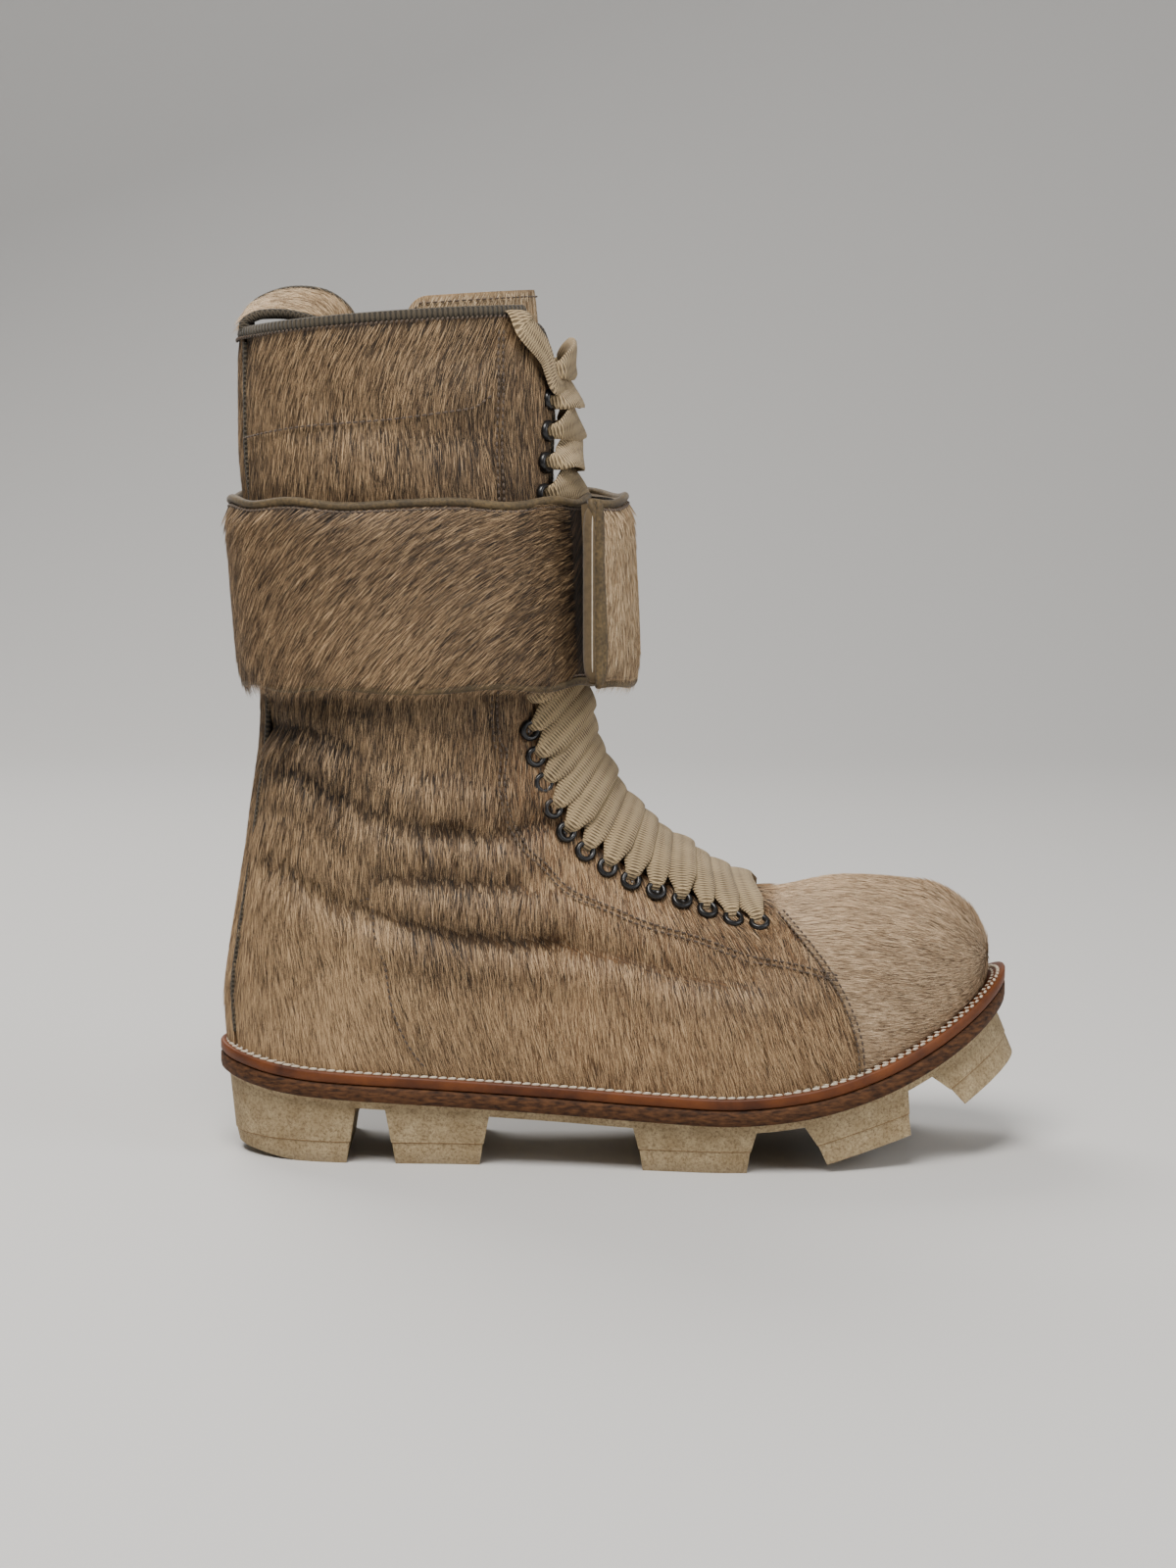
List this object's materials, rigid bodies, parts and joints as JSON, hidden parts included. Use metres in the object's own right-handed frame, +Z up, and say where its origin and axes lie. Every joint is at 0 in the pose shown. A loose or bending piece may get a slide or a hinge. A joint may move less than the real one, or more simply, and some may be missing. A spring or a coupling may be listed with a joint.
{
  "type": "lug sole boot",
  "caption": "High lace-up boot in haired hide: toe cap, laces through eyelets, a wide strap round the ankle, a pull loop, and a welted sole with deep rubber lugs.",
  "frame": {"origin": "on the ground at the middle of the flat under the heel lug", "axes": "+X from heel to toe, +Y to the inner (medial) side of the foot, +Z up. Right shoe, standing on level ground."},
  "size_m": [0.3112, 0.1134, 0.3345],
  "materials": {
    "hair_hide": "hair-on hide, tan and beige, matte",
    "cap_hide": "short hair-on hide, pale pinkish tan, matte",
    "binding": "dark woven tape",
    "lace": "flat ribbed cotton, beige",
    "eyelet_metal": "gloss black",
    "welt": "smooth veg leather, orange-brown, stitched",
    "midsole": "dark stained edge",
    "outsole_rubber": "matte moulded gum rubber, pale tan",
    "insole_leather": "plain insole leather"
  },
  "bodies": {
    "root": {"upper": "hair_hide", "toe_cap": "cap_hide", "backstay": "hair_hide", "collar_binding": "binding", "tongue": "hair_hide", "strap": "hair_hide", "pull_loop": "hair_hide", "lace_vamp": "lace", "lace_shaft": "lace", "welt": "welt", "midsole": "midsole", "outsole": "outsole_rubber", "insole": "insole_leather", "eyelet_outer_01": "eyelet_metal", "eyelet_outer_02": "eyelet_metal", "eyelet_outer_03": "eyelet_metal", "eyelet_outer_04": "eyelet_metal", "eyelet_outer_05": "eyelet_metal", "eyelet_outer_06": "eyelet_metal", "eyelet_outer_07": "eyelet_metal", "eyelet_outer_08": "eyelet_metal", "eyelet_outer_09": "eyelet_metal", "eyelet_outer_10": "eyelet_metal", "eyelet_outer_11": "eyelet_metal", "eyelet_outer_12": "eyelet_metal", "eyelet_outer_13": "eyelet_metal", "eyelet_outer_21": "eyelet_metal", "eyelet_outer_22": "eyelet_metal", "eyelet_outer_23": "eyelet_metal", "eyelet_outer_24": "eyelet_metal", "eyelet_outer_25": "eyelet_metal", "eyelet_inner_01": "eyelet_metal", "eyelet_inner_02": "eyelet_metal", "eyelet_inner_03": "eyelet_metal", "eyelet_inner_04": "eyelet_metal", "eyelet_inner_05": "eyelet_metal", "eyelet_inner_06": "eyelet_metal", "eyelet_inner_07": "eyelet_metal", "eyelet_inner_08": "eyelet_metal", "eyelet_inner_09": "eyelet_metal", "eyelet_inner_10": "eyelet_metal", "eyelet_inner_11": "eyelet_metal", "eyelet_inner_12": "eyelet_metal", "eyelet_inner_13": "eyelet_metal", "eyelet_inner_21": "eyelet_metal", "eyelet_inner_22": "eyelet_metal", "eyelet_inner_23": "eyelet_metal", "eyelet_inner_24": "eyelet_metal", "eyelet_inner_25": "eyelet_metal"}
  },
  "joints": []
}
